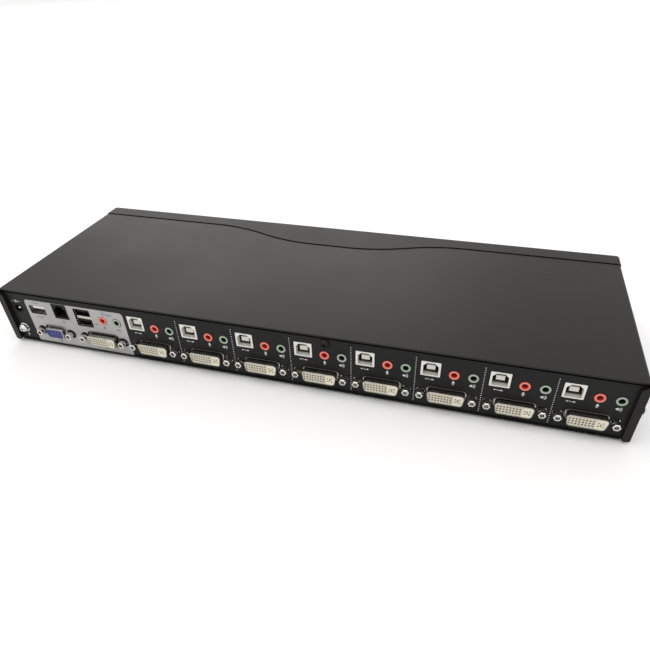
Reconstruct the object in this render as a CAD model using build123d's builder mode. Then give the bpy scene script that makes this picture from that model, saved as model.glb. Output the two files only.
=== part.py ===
from build123d import *
import os

os.makedirs("parts", exist_ok=True)

# An eight-port keyboard, screen and sound switch in a one-unit rack box, in millimetres.
# It stands on its feet at z = 0. Its buttons face -Y and its sockets face +Y.
# The sockets are laid out from behind, so most places are given as a distance from the
# box's +X side, a depth in front of its rear rim and a height above the tray's underside.

# Box
cover_width = 436.0
cover_height = 43.5
body_depth = 156.0              # rear rim to bezel face
sheet = 1.1                     # cover
tray_sheet = 1.0
foot_height = 2.0
slip = 0.2                      # play between pieces that slip together
gap = 0.1                       # space between fixed pieces that all but touch
overrun = 1.0                   # how far a cut runs past what it cuts
rim_width = 4.8                 # edge folded in at the rear of each side wall
rim_mitre = 4.2                 # drop of the mitre cut at the rim's top
rim_top = 42.5
rim_bottom = 0.2
rim_corner = 1.4                # rounding at the rim's foot
cover_round = 1.6
panel_depth = 2.6               # rear panel's outer face
panel_top = 41.2
ledge_depth = 1.6               # rear edge of the floor
seam_depth = 139.0              # cover's front edge beside the side walls
seam_bulge = 18.0               # how far the wave carries it back in the middle
wave_inner = 14.0               # half width of the wave's straight middle
wave_outer = 107.0              # half width of the whole wave
front_wall_depth = 136.0
front_wall_top = 38.0
lip_height = 8.0
tab_length = 12.0
tab_top = 38.0
weld_tab_width = 3.5
screw_tab_half = 7.0
screw_tab_bottom = 33.0

# Rear sockets
first_port = 122.65             # middle of the first computer's DVI socket
port_pitch = 41.0
port_count = 8
console_dvi = 80.7
vga_centre = 39.8
low_row = 11.7                  # height of the DVI and VGA sockets
jack_row = 28.4
usb_b_row = 30.7
usb_b_shift = -10.9             # from the DVI socket's middle
mic_shift = 3.4
speaker_shift = 14.9
screw_reach = 4.7               # jackscrews and DVI shells stand out of the panel by this
dvi_spacing = 32.3
dvi_width = 24.0
dvi_height = 8.4
vga_spacing = 25.0
vga_width = 15.8
vga_height = 8.0
vga_reach = 3.4
d_corner = 2.1
root_lap = 1.0                  # raised root of a D-shaped shell, beyond its sides
root_rise = 0.35                # and beyond its top and bottom
root_play = 0.3                 # panel opening round the raised root
lobe_radius = 2.9               # panel opening round a jackscrew
label_margin = 0.9              # label opening beyond the panel's, round the D-shaped sockets
jack_radius = 3.2
plug_radius = 1.8               # 3.5 mm plug with its play
usb_b_width = 12.0
usb_b_height = 10.9
usb_a_centre = 29.5
usb_a_row = 29.3
usb_a_width = 13.1
usb_a_height = 6.4
usb_a_play = 0.4
usb_a_corner = 1.0
stack_centre = 68.2
stack_row = 28.3
stack_height = 14.3
upgrade_centre = 49.4
upgrade_row = 30.8
upgrade_width = 12.0
upgrade_height = 12.2
power_centre = 12.0
power_row = 28.4
power_radius = 3.8
console_mic = 84.3
console_speaker = 95.8
ground_centre = 11.0
ground_row = 11.7
rear_screw_centre = 249.6
rear_screw_row = 37.6
label_left = 20.2
label_right = 102.4
label_bottom = 1.1
label_top = 37.3
label_thickness = 0.15
label_corner = 2.5

# Front
bezel_side_lap = 0.6            # bezel wider than the cover on each side
bezel_height = 44.0
bezel_wall = 2.0
bezel_face = 2.5
bezel_round = 4.0
bezel_corner = 2.0
ledge_length = 3.0
seam_gap = 1.2
rim_lap = 4.5                   # ledge that reaches back under the cover
overlay_width = 396.0
overlay_height = 29.0
overlay_row = 22.0
overlay_thickness = 0.5
overlay_pocket = 0.6
overlay_corner = 4.0
button_pitch = 38.0
button_row = 19.0
button_width = 17.0
button_height = 9.0
button_play = 0.3
button_corner = 1.5
cap_reach = 0.8                 # caps in front of the bezel face
button_travel = 0.5
led_row = 30.5
led_spacing = 8.0
led_radius = 1.5
power_led_x = -176.0

# Boards
board = 1.6
main_top = 5.0
io_top = 24.6
board_rear = 4.7                # depth of both boards' rear edges
main_front = 118.0
io_front = 62.0
board_half = 208.0
button_board_front = 145.2
button_board_half = 182.0
button_board_rise = 14.0
board_hole = 1.7
standoff_radius = 3.0
pillar_radius = 2.75
pillar_bore = 8.0
ribbon_x = -120.0
ribbon_width = 20.0
ribbon_thickness = 1.0
ribbon_row = 21.0
ribbon_play = 3.0

shell_reach = screw_reach - panel_depth
rear_y = (body_depth + cap_reach - shell_reach) / 2
half_width = cover_width / 2
panel_inside = panel_depth + tray_sheet
port_centres = [first_port + port_pitch * number for number in range(port_count)]
dvi_centres = [console_dvi] + port_centres
usb_b_centres = [centre + usb_b_shift for centre in port_centres]
mic_centres = [console_mic] + [centre + mic_shift for centre in port_centres]
speaker_centres = [console_speaker] + [centre + speaker_shift for centre in port_centres]
button_xs = [button_pitch * (number - (port_count - 1) / 2) for number in range(port_count)]
led_xs = [x + side * led_spacing / 2 for x in button_xs for side in (-1, 1)] + [power_led_x]
cap_opening = (
    button_width + 2 * button_play,
    button_height + 2 * button_play,
    button_corner + button_play,
)


def across(distance):
    """X of a point this far from the box's +X side."""
    return half_width - distance


def deep(depth):
    """Y of a point this far in front of the rear rim."""
    return rear_y - depth


def up(height):
    """Z of a point this far above the tray's underside."""
    return foot_height + height


def upright(y):
    """Upright plane across the box; what is extruded from it runs forwards."""
    return Plane.XZ.offset(-y)


def spots(distances, height):
    """Places at one height, for a sketch on an upright plane."""
    return [(across(distance), up(height)) for distance in distances]


def block(x_range, depth_range, height_range, mode=Mode.ADD):
    """Plain block between two Xs, two depths and two heights."""
    x_low, x_high = sorted(x_range)
    near, far = depth_range
    low, high = height_range
    with BuildSketch(upright(deep(near))) as outline:
        with Locations(((x_low + x_high) / 2, (up(low) + up(high)) / 2)):
            Rectangle(x_high - x_low, high - low)
    extrude(outline.sketch, amount=far - near, mode=mode)


def rods(places, radius, near, far, mode=Mode.ADD):
    """Round rods that run from one depth to another at places on an upright plane."""
    with BuildSketch(upright(deep(near))) as outline:
        with Locations(*places):
            Circle(radius)
    extrude(outline.sketch, amount=far - near, mode=mode)


def posts(places, radius, low, high, mode=Mode.ADD):
    """Round posts between two heights at (x, depth) places."""
    with BuildSketch(Plane.XY.offset(up(low))) as outline:
        with Locations(*[(x, deep(depth)) for x, depth in places]):
            Circle(radius)
    extrude(outline.sketch, amount=high - low, mode=mode)


def d_outline(width, height, corner):
    """D outline of a socket, wide side up, about its middle."""
    with BuildSketch() as outline:
        Trapezoid(width, height, 80, rotation=180)
        fillet(outline.vertices(), corner)
    return outline.sketch


def root_outline(width, height, play):
    """Outline of the raised root of a D-shaped shell, wider all round by play."""
    corner = d_corner + root_rise + play
    return d_outline(width + 2 * (root_lap + play), height + 2 * (root_rise + play), corner)


def usb_b_outline(width, height, corner):
    """Square with its two upper corners cut off."""
    with BuildSketch() as outline:
        Rectangle(width, height)
        chamfer(outline.vertices().group_by(Axis.Y)[-1], corner)
    return outline.sketch


def wave(shift):
    """In plan, all that lies in front of the wavy seam, moved forwards by shift."""
    end_y = deep(seam_depth) - shift
    middle_y = end_y + seam_bulge
    turn_x = (wave_inner + wave_outer) / 2
    turn_y = (end_y + middle_y) / 2
    far_y = deep(body_depth) - seam_bulge
    edge_x = half_width + seam_bulge
    with BuildSketch() as region:
        with BuildLine():
            Line((-edge_x, end_y), (-wave_outer, end_y))
            rise = TangentArc((-wave_outer, end_y), (-turn_x, turn_y), tangent=(1, 0))
            TangentArc((-turn_x, turn_y), (-wave_inner, middle_y), tangent=rise % 1)
            Line((-wave_inner, middle_y), (wave_inner, middle_y))
            fall = TangentArc((wave_inner, middle_y), (turn_x, turn_y), tangent=(1, 0))
            TangentArc((turn_x, turn_y), (wave_outer, end_y), tangent=fall % 1)
            Line((wave_outer, end_y), (edge_x, end_y))
            Polyline((edge_x, end_y), (edge_x, far_y), (-edge_x, far_y), (-edge_x, end_y))
        make_face()
    return region.sketch


def socket_openings(play, margin):
    """Cuts every opening of the rear panel out of the current sketch.

    They are wider by play, but those of the D-shaped sockets by margin.
    """
    dvi_opening = root_outline(dvi_width, dvi_height, root_play + margin)
    vga_opening = root_outline(vga_width, vga_height, root_play + margin)
    usb_a_size = (usb_a_width + usb_a_play + play, usb_a_height + usb_a_play + play)
    stack_size = (usb_a_width + usb_a_play + play, stack_height + usb_a_play + play)
    with Locations(*spots(dvi_centres, low_row)):
        add(dvi_opening, mode=Mode.SUBTRACT)
    with Locations(*spots([vga_centre], low_row)):
        add(vga_opening, mode=Mode.SUBTRACT)
    with Locations(*jackscrew_spots):
        Circle(lobe_radius + margin, mode=Mode.SUBTRACT)
    with Locations(*spots(usb_b_centres, usb_b_row)):
        Rectangle(usb_b_width + slip + play, usb_b_height + slip + play, mode=Mode.SUBTRACT)
    with Locations(*spots(mic_centres + speaker_centres, jack_row)):
        Circle(jack_radius + slip / 2 + play, mode=Mode.SUBTRACT)
    with Locations(*spots([usb_a_centre], usb_a_row)):
        RectangleRounded(*usb_a_size, usb_a_corner, mode=Mode.SUBTRACT)
    with Locations(*spots([stack_centre], stack_row)):
        RectangleRounded(*stack_size, usb_a_corner, mode=Mode.SUBTRACT)
    with Locations(*spots([upgrade_centre], upgrade_row)):
        Rectangle(upgrade_width + slip + play, upgrade_height + slip + play, mode=Mode.SUBTRACT)
    with Locations(*spots([power_centre], power_row)):
        Circle(power_radius + slip / 2 + play, mode=Mode.SUBTRACT)


jackscrew_distances = [centre + side * dvi_spacing / 2 for centre in dvi_centres for side in (-1, 1)]
jackscrew_distances += [vga_centre + side * vga_spacing / 2 for side in (-1, 1)]
jackscrew_spots = spots(jackscrew_distances, low_row)

# Screws and their holes
m3_head = 2.9
m3_head_height = 2.0
cover_head = 3.3
cover_head_height = 2.4
cover_screw_length = 6.0
board_screw_length = 4.0
ground_screw_length = 9.0
m3_shank = 1.3
m3_tap = 1.35
m3_clear = 1.7
jackscrew_bore = 1.4
ground_head = 3.1
ground_head_height = 2.6
ground_shank = 1.9
ground_hole = 2.1
washer_radius = 3.7
washer_thickness = 0.8
lock_washer_radius = 3.2
lock_washer_thickness = 0.9
lock_washer_split = 0.8
side_screw_places = [(6.2, 21.5), (70.0, 4.4), (130.0, 21.5)]     # depth, height
ear_depth = 106.0
ear_row = 23.6
ear_spacing_y = 28.0
ear_spacing_z = 22.0
nut_bore = 1.25
nut_shank = 2.1
nut_radius = 3.0
nut_length = 2.0
bezel_screw_places = [(side * 200.0, height) for side in (-1, 1) for height in (12.0, 32.0)]
button_screw_places = [(x, 24.0) for x in (-163.0, -76.0, 0.0, 76.0, 163.0)]
board_boss = 3.0
wall_boss = 3.6
boss_bore = 7.0
standoff_xs = [-190.0, -63.0, 63.0, 190.0]
pillar_depth = 42.0
front_standoff_depth = 111.0


# Cover: roof and side walls of one folded sheet
with BuildPart() as top_cover:
    with BuildSketch(upright(deep(panel_depth))) as section:
        with Locations((0, up(0))):
            Rectangle(cover_width, cover_height, align=(Align.CENTER, Align.MIN))
        fillet(section.vertices().group_by(Axis.Y)[-1], cover_round)
        with Locations((0, up(0))):
            Rectangle(
                cover_width - 2 * sheet,
                cover_height - sheet,
                align=(Align.CENTER, Align.MIN),
                mode=Mode.SUBTRACT,
            )
    extrude(amount=seam_depth - panel_depth)
    with BuildSketch(Plane.XY.offset(up(cover_height - 2 * sheet))):
        add(wave(0))
    extrude(amount=3 * sheet, mode=Mode.SUBTRACT)
    # Rear edges of the side walls, folded in to a rim and forwards again to the panel
    for side in (-1, 1):
        outer_x = side * half_width
        lip_x = side * (half_width - rim_width)
        block((outer_x, outer_x - side * sheet), (0, panel_depth), (rim_bottom + rim_corner, rim_top))
        lip_heights = (rim_bottom + rim_corner, cover_height - rim_mitre)
        block((lip_x, lip_x + side * sheet), (0, panel_depth), lip_heights)
        with BuildSketch(upright(deep(0))) as rim:
            with BuildLine():
                Polyline(
                    (outer_x, up(rim_bottom)),
                    (outer_x, up(rim_top)),
                    (outer_x - side * sheet, up(rim_top)),
                    (lip_x, up(cover_height - rim_mitre)),
                    (lip_x, up(rim_bottom)),
                    close=True,
                )
            make_face()
            fillet(rim.vertices().group_by(Axis.Y)[0], rim_corner)
        extrude(amount=sheet)
    # Tab that hangs behind the rear panel and takes the rear screw
    tab_x = across(rear_screw_centre)
    tab_rear = panel_inside + gap
    block(
        (tab_x - screw_tab_half, tab_x + screw_tab_half),
        (tab_rear, tab_rear + sheet),
        (screw_tab_bottom, cover_height - sheet / 2),
    )
    rods(spots([rear_screw_centre], rear_screw_row), m3_tap, panel_depth, panel_inside + 2 * sheet, Mode.SUBTRACT)
    # Holes in the side walls for the cover screws and the rack-ear nuts
    with BuildSketch(Plane.YZ.offset(-half_width)):
        with Locations(*[(deep(depth), up(height)) for depth, height in side_screw_places]):
            Circle(m3_clear)
        with Locations((deep(ear_depth), up(ear_row))):
            with GridLocations(ear_spacing_y, ear_spacing_z, 2, 2):
                Circle(nut_shank)
    extrude(amount=cover_width, mode=Mode.SUBTRACT)
top_cover.part.label = "top_cover"
export_step(top_cover.part, "parts/top_cover.step")

# Tray: floor, front wall and side lips of one folded sheet
tray_half = half_width - sheet - slip
with BuildPart() as base_tray:
    wall_end = front_wall_depth + tray_sheet
    block((-tray_half, tray_half), (panel_depth, wall_end), (0, tray_sheet))
    # The floor reaches out behind the recessed panel, between the cover's rims
    ledge_half = half_width - rim_width - slip
    block((-ledge_half, ledge_half), (ledge_depth, panel_depth), (0, tray_sheet))
    block((-tray_half, tray_half), (front_wall_depth, wall_end), (0, front_wall_top))
    for side in (-1, 1):
        lip = (side * tray_half, side * (tray_half - tray_sheet))
        block(lip, (panel_inside, wall_end), (0, lip_height))
        block(lip, (panel_inside, panel_inside + tab_length), (0, tab_top))
        block(lip, (front_wall_depth - tab_length, wall_end), (0, tab_top))
        # Tab folded in behind the rear panel's end, to which the panel is welded
        weld_tab = (side * tray_half, side * (tray_half - weld_tab_width))
        block(weld_tab, (panel_inside, panel_inside + tray_sheet), (0, tab_top))
    through_wall = (front_wall_depth - overrun, wall_end + overrun)
    rods([(x, up(height)) for x, height in bezel_screw_places], m3_clear, *through_wall, Mode.SUBTRACT)
    slot_half = ribbon_width / 2 + ribbon_play
    block(
        (ribbon_x - slot_half, ribbon_x + slot_half),
        through_wall,
        (ribbon_row - ribbon_play, ribbon_row + ribbon_play),
        Mode.SUBTRACT,
    )
    with BuildSketch(Plane.YZ.offset(-tray_half)):
        with Locations(*[(deep(depth), up(height)) for depth, height in side_screw_places]):
            Circle(m3_tap)
    extrude(amount=2 * tray_half, mode=Mode.SUBTRACT)
base_tray.part.label = "base_tray"
export_step(base_tray.part, "parts/base_tray.step")

# Flat panel that stands on the tray's floor and carries every socket
with BuildPart() as rear_panel:
    with BuildSketch(upright(deep(panel_depth))):
        with Locations((0, up(tray_sheet))):
            Rectangle(2 * tray_half, panel_top - tray_sheet, align=(Align.CENTER, Align.MIN))
        socket_openings(0, 0)
        with Locations(*spots([rear_screw_centre], rear_screw_row)):
            Circle(m3_clear, mode=Mode.SUBTRACT)
        with Locations(*spots([ground_centre], ground_row)):
            Circle(ground_hole, mode=Mode.SUBTRACT)
    extrude(amount=tray_sheet)
rear_panel.part.label = "rear_panel"
export_step(rear_panel.part, "parts/rear_panel.step")

# Printed plate round the console sockets
with BuildPart() as console_label:
    with BuildSketch(upright(deep(panel_depth - label_thickness))) as plate:
        with Locations(((across(label_left) + across(label_right)) / 2, up(label_bottom))):
            Rectangle(label_right - label_left, label_top - label_bottom, align=(Align.CENTER, Align.MIN))
        fillet(plate.vertices().group_by(Axis.Y)[-1], label_corner)
        socket_openings(slip, label_margin)
    extrude(amount=label_thickness)
console_label.part.label = "console_label"
export_step(console_label.part, "parts/console_label.step")

# Bezel: a hollow moulding whose top skin follows the wave
with BuildPart() as front_bezel:
    bezel_width = cover_width + 2 * bezel_side_lap
    skin_back = seam_depth - seam_bulge
    bezel_back = seam_depth + seam_gap
    inner_back = body_depth - bezel_face
    with BuildSketch(upright(deep(skin_back))):
        with Locations((0, up(bezel_height / 2))):
            RectangleRounded(bezel_width, bezel_height, bezel_corner)
    extrude(amount=body_depth - skin_back)
    fillet(front_bezel.faces().sort_by(Axis.Y)[0].edges(), bezel_round)
    block(
        (-bezel_width / 2 + bezel_wall, bezel_width / 2 - bezel_wall),
        (skin_back, inner_back),
        (bezel_wall, bezel_height - bezel_wall),
        Mode.SUBTRACT,
    )
    # Sides and floor of the moulding stop at the straight part of the seam
    block(
        (-bezel_width, bezel_width),
        (skin_back, bezel_back),
        (-bezel_wall, bezel_height - bezel_wall),
        Mode.SUBTRACT,
    )
    with BuildSketch(Plane.XY.offset(up(bezel_height - bezel_wall))):
        Rectangle(2 * bezel_width, 4 * body_depth)
        add(wave(seam_gap), mode=Mode.SUBTRACT)
    extrude(amount=2 * bezel_wall, mode=Mode.SUBTRACT)
    # Ledge under the cover's wavy edge
    ledge_top = cover_height - sheet - slip
    with BuildSketch(Plane.XY.offset(up(ledge_top - bezel_wall))):
        add(wave(seam_gap - rim_lap))
        add(wave(seam_gap + bezel_wall), mode=Mode.SUBTRACT)
        Rectangle(cover_width - 2 * sheet - 2 * slip, 4 * body_depth, mode=Mode.INTERSECT)
    extrude(amount=bezel_wall)
    # Ledges inside the side walls and under the front
    for side in (-1, 1):
        ledge_x = side * (half_width - sheet - slip)
        block((ledge_x, ledge_x - side * bezel_wall), (wall_end + slip, bezel_back + ledge_length), (0, ledge_top))
        wall_x = side * (bezel_width - bezel_wall) / 2
        block((ledge_x, wall_x), (bezel_back, bezel_back + ledge_length), (bezel_wall / 2, ledge_top))
    block((-tray_half, tray_half), (wall_end + slip, bezel_back + ledge_length), (0, bezel_wall))
    # Openings for the overlay, the caps and the lights
    with BuildSketch(upright(deep(body_depth - overlay_pocket))):
        with Locations((0, up(overlay_row))):
            RectangleRounded(overlay_width + slip, overlay_height + slip, overlay_corner + slip / 2)
    extrude(amount=2 * overlay_pocket, mode=Mode.SUBTRACT)
    with BuildSketch(upright(deep(inner_back - overrun))):
        with Locations(*[(x, up(button_row)) for x in button_xs]):
            RectangleRounded(*cap_opening)
        with Locations(*[(x, up(led_row)) for x in led_xs]):
            Circle(led_radius + slip)
    extrude(amount=2 * bezel_face, mode=Mode.SUBTRACT)
    # Bosses for the button board's screws and for the screws through the front wall
    board_boss_spots = [(x, up(height)) for x, height in button_screw_places]
    wall_boss_spots = [(x, up(height)) for x, height in bezel_screw_places]
    boss_end = inner_back + bezel_face / 5
    rods(board_boss_spots, board_boss, button_board_front, boss_end)
    rods(wall_boss_spots, wall_boss, wall_end + slip, boss_end)
    rods(board_boss_spots, m3_tap, button_board_front, button_board_front + boss_bore, Mode.SUBTRACT)
    rods(wall_boss_spots, m3_tap, wall_end, wall_end + boss_bore, Mode.SUBTRACT)
front_bezel.part.label = "front_bezel"
export_step(front_bezel.part, "parts/front_bezel.step")

with BuildPart() as front_overlay:
    with BuildSketch(upright(deep(body_depth - overlay_pocket))):
        with Locations((0, up(overlay_row))):
            RectangleRounded(overlay_width, overlay_height, overlay_corner)
        with Locations(*[(x, up(button_row)) for x in button_xs]):
            RectangleRounded(*cap_opening, mode=Mode.SUBTRACT)
        with Locations(*[(x, up(led_row)) for x in led_xs]):
            Circle(led_radius + slip, mode=Mode.SUBTRACT)
    extrude(amount=overlay_thickness)
front_overlay.part.label = "front_overlay"
export_step(front_overlay.part, "parts/front_overlay.step")

# Push buttons: a proud cap, a flange that stops behind the bezel face and a stem
flange_front = body_depth - bezel_face - slip
flange_thickness = 1.1
flange_margin = 1.5
cap_round = 0.6
stem_radius = 2.5
stem_back = 150.4
plunger_radius = 1.7
plunger_back = 148.2
switch_front = 148.8
switch_size = 6.0
switch_corner = 0.6
switch_well = 2.0
for number, x in enumerate(button_xs, start=1):
    with BuildPart() as port_button:
        with BuildSketch(upright(deep(flange_front))):
            with Locations((x, up(button_row))):
                RectangleRounded(button_width, button_height, button_corner)
        extrude(amount=body_depth + cap_reach - flange_front)
        fillet(port_button.faces().sort_by(Axis.Y)[0].edges(), cap_round)
        with BuildSketch(upright(deep(flange_front - flange_thickness))):
            with Locations((x, up(button_row))):
                RectangleRounded(
                    button_width + 2 * flange_margin,
                    button_height + 2 * flange_margin,
                    button_corner,
                )
        extrude(amount=flange_thickness)
        rods([(x, up(button_row))], stem_radius, stem_back, flange_front - flange_thickness)
    port_button.part.label = f"port_button_{number}"
    export_step(port_button.part, f"parts/port_button_{number}.step")
    with BuildPart() as switch_plunger:
        rods([(x, up(button_row))], plunger_radius, plunger_back, stem_back)
    switch_plunger.part.label = f"switch_plunger_{number}"
    export_step(switch_plunger.part, f"parts/switch_plunger_{number}.step")

with BuildPart() as tact_switches:
    with BuildSketch(upright(deep(button_board_front))):
        with Locations(*[(x, up(button_row)) for x in button_xs]):
            RectangleRounded(switch_size, switch_size, switch_corner)
    extrude(amount=switch_front - button_board_front)
    rods(
        [(x, up(button_row)) for x in button_xs],
        switch_well,
        plunger_back - button_travel - button_play,
        switch_front,
        Mode.SUBTRACT,
    )
tact_switches.part.label = "tact_switches"
export_step(tact_switches.part, "parts/tact_switches.step")

# Lights: a domed lens on a collar and two legs, the two legs apart
lens_tip = body_depth + 0.4
lens_length = 4.6
collar_length = 1.0
collar_radius = 1.9
leg_x = 1.27
leg_half = 0.25
with BuildPart() as lens:
    with BuildSketch(Plane.XY) as profile:
        with BuildLine():
            lens_y = deep(lens_tip - lens_length)
            collar_y = lens_y + collar_length
            dome_y = deep(lens_tip - led_radius)
            Polyline(
                (0, collar_y),
                (collar_radius, collar_y),
                (collar_radius, lens_y),
                (led_radius, lens_y),
                (led_radius, dome_y),
            )
            RadiusArc((led_radius, dome_y), (0, deep(lens_tip)), led_radius)
            Line((0, deep(lens_tip)), (0, collar_y))
        make_face()
    revolve(axis=Axis.Y)
    leg_front = lens_tip - lens_length - collar_length + leg_half
    for x in (-leg_x, leg_x):
        block((x - leg_half, x + leg_half), (button_board_front, leg_front), (-leg_half, leg_half))
with BuildPart() as leds:
    with Locations(*[(x, 0, up(led_row)) for x in led_xs]):
        add(lens.part)
leds.part.label = "leds"
export_step(leds.part, "parts/leds.step")

# DVI and VGA sockets, each about the middle of its shell on the panel's outer face
flange_back = -tray_sheet - gap
flange_sheet = 0.5
flange_lap = 3.4
flange_height = 11.0
flange_corner = 1.5
root_face = -0.25
root_round = 0.6
shell_round = 0.4
insulator_play = 0.05
shell_sheet = 0.45
insulator_back = -14.0
insulator_drop = low_row - main_top - insulator_play
insulator_inset = 0.5
thread_well = 6.0
insulator_rise = 5.4
screw_hole = 1.8
hex_across = 4.4
hex_chamfer = 0.4
dvi_face = screw_reach - 0.3
vga_face = vga_reach - 0.5
contact_depth = 3.5
contact_hole = 1.05
signal_pitch = 1.88
signal_centre = 3.1
cross_centre = 7.6
cross_pitch = 2.7
cross_slot = 0.5
vga_pitch = 2.29
vga_row = 1.98
vga_hole = 0.5


def socket_shell(width, height, spacing, reach):
    """Steel flange with a raised root and a D-shaped tube that stands out of the panel."""
    outer = d_outline(width, height, d_corner)
    inner = d_outline(width - 2 * shell_sheet, height - 2 * shell_sheet, d_corner - shell_sheet)
    root = root_outline(width, height, 0)
    with BuildPart() as shell:
        with BuildSketch(upright(flange_back)):
            RectangleRounded(spacing + 2 * flange_lap, flange_height, flange_corner)
            with GridLocations(spacing, 1, 2, 1):
                Circle(screw_hole, mode=Mode.SUBTRACT)
        extrude(amount=flange_sheet)
        with BuildSketch(upright(root_face)):
            add(root)
        extrude(amount=root_face - flange_back)
        fillet(shell.faces().sort_by(Axis.Y)[-1].edges(), root_round)
        with BuildSketch(upright(reach)):
            add(outer)
        extrude(amount=reach - flange_back)
        fillet(shell.faces().sort_by(Axis.Y)[-1].edges(), shell_round)
        with BuildSketch(upright(reach)):
            add(inner)
        extrude(amount=reach - flange_back + flange_sheet, mode=Mode.SUBTRACT)
    return shell.part


def socket_insulator(width, height, spacing, face):
    """Moulding that fills a shell up to its face and holds the jackscrews behind the flange."""
    margin = shell_sheet + insulator_play
    inner = d_outline(width - 2 * margin, height - 2 * margin, d_corner - shell_sheet)
    with BuildPart() as insulator:
        with BuildSketch(upright(flange_back - flange_sheet)):
            with Locations((0, -insulator_drop)):
                Rectangle(
                    spacing + 2 * (flange_lap - insulator_inset),
                    insulator_drop + insulator_rise,
                    align=(Align.CENTER, Align.MIN),
                )
        extrude(amount=flange_back - flange_sheet - insulator_back)
        with BuildSketch(upright(flange_back - flange_sheet)):
            with GridLocations(spacing, 1, 2, 1):
                Circle(screw_hole)
        extrude(amount=thread_well, mode=Mode.SUBTRACT)
        with BuildSketch(upright(face)):
            add(inner)
        extrude(amount=face - flange_back + flange_sheet)
    return insulator.part


dvi_shell = socket_shell(dvi_width, dvi_height, dvi_spacing, screw_reach)
vga_shell_shape = socket_shell(vga_width, vga_height, vga_spacing, vga_reach)

with BuildPart() as dvi_insulator:
    add(socket_insulator(dvi_width, dvi_height, dvi_spacing, dvi_face))
    # Eight columns of signal contacts, then the ground cross with four contacts round it
    with BuildSketch(upright(dvi_face)):
        with Locations((signal_centre, 0)):
            with GridLocations(signal_pitch, signal_pitch, 8, 3):
                Rectangle(contact_hole, contact_hole)
        with Locations((-cross_centre, 0)):
            with GridLocations(cross_pitch, cross_pitch, 2, 2):
                Rectangle(contact_hole, contact_hole)
            Rectangle(1.7 * cross_pitch, cross_slot)
            Rectangle(cross_slot, 1.25 * cross_pitch)
    extrude(amount=contact_depth, mode=Mode.SUBTRACT)

with BuildPart() as vga_insulator_shape:
    add(socket_insulator(vga_width, vga_height, vga_spacing, vga_face))
    with BuildSketch(upright(vga_face)):
        with Locations((0, vga_row), (vga_pitch / 2, 0), (0, -vga_row)):
            with GridLocations(vga_pitch, 1, 5, 1):
                Circle(vga_hole)
    extrude(amount=contact_depth, mode=Mode.SUBTRACT)


def panel_places(distances, height):
    """Places on the panel's outer face for whole sockets."""
    return [(across(distance), deep(panel_depth), up(height)) for distance in distances]


with BuildPart() as dvi_shells:
    with Locations(*panel_places(dvi_centres, low_row)):
        add(dvi_shell)
dvi_shells.part.label = "dvi_shells"
export_step(dvi_shells.part, "parts/dvi_shells.step")

with BuildPart() as dvi_insulators:
    with Locations(*panel_places(dvi_centres, low_row)):
        add(dvi_insulator.part)
dvi_insulators.part.label = "dvi_insulators"
export_step(dvi_insulators.part, "parts/dvi_insulators.step")

with BuildPart() as vga_shell:
    with Locations(*panel_places([vga_centre], low_row)):
        add(vga_shell_shape)
vga_shell.part.label = "vga_shell"
export_step(vga_shell.part, "parts/vga_shell.step")

with BuildPart() as vga_insulator:
    with Locations(*panel_places([vga_centre], low_row)):
        add(vga_insulator_shape.part)
vga_insulator.part.label = "vga_insulator"
export_step(vga_insulator.part, "parts/vga_insulator.step")

# Hexagonal jackscrews, threaded for the plugs' thumbscrews
jackscrew_bore_length = 5.0
jackscrew_tail = 5.5
with BuildPart() as jackscrew:
    with BuildSketch(upright(screw_reach - hex_chamfer)):
        RegularPolygon(hex_across / 2, 6, major_radius=False)
    extrude(amount=screw_reach - hex_chamfer - flange_back)
    with BuildSketch(upright(screw_reach - hex_chamfer)):
        RegularPolygon(hex_across / 2, 6, major_radius=False)
    extrude(amount=-hex_chamfer, taper=25)
    with BuildSketch(upright(flange_back)):
        Circle(screw_hole - gap)
    extrude(amount=jackscrew_tail)
    with BuildSketch(upright(screw_reach)):
        Circle(jackscrew_bore)
    extrude(amount=jackscrew_bore_length, mode=Mode.SUBTRACT)
with BuildPart() as jackscrews:
    with Locations(*panel_places(jackscrew_distances, low_row)):
        add(jackscrew.part)
jackscrews.part.label = "jackscrews"
export_step(jackscrews.part, "parts/jackscrews.step")

# USB-B sockets
usb_b_reach = 0.4
usb_b_back = -15.0
usb_b_sheet = 0.4
usb_b_corner = 0.5
usb_b_foot_y = -8.0
usb_b_foot_length = 3.0
usb_b_mouth = usb_b_outline(9.4, 8.9, 2.3)
usb_b_mouth_depth = 9.5
usb_b_block = (5.2, 3.3)
usb_b_block_face = -1.6
with BuildPart() as usb_b_shell:
    with BuildSketch(upright(usb_b_reach)):
        RectangleRounded(usb_b_width, usb_b_height, usb_b_corner)
    extrude(amount=usb_b_reach - usb_b_back)
    with BuildSketch(upright(usb_b_reach - usb_b_sheet)):
        Rectangle(usb_b_width - 2 * usb_b_sheet, usb_b_height - 2 * usb_b_sheet)
    extrude(amount=usb_b_reach - usb_b_back, mode=Mode.SUBTRACT)
    with BuildSketch(upright(usb_b_reach)):
        add(usb_b_mouth)
    extrude(amount=overrun, mode=Mode.SUBTRACT)
    # Feet down to the board
    foot_drop = usb_b_row - io_top - usb_b_height / 2
    with BuildSketch(upright(usb_b_foot_y)):
        with Locations((0, io_top - usb_b_row)):
            with GridLocations(usb_b_width - usb_b_sheet, 1, 2, 1):
                Rectangle(usb_b_sheet, foot_drop + slip, align=(Align.CENTER, Align.MIN))
    extrude(amount=usb_b_foot_length)
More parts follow.
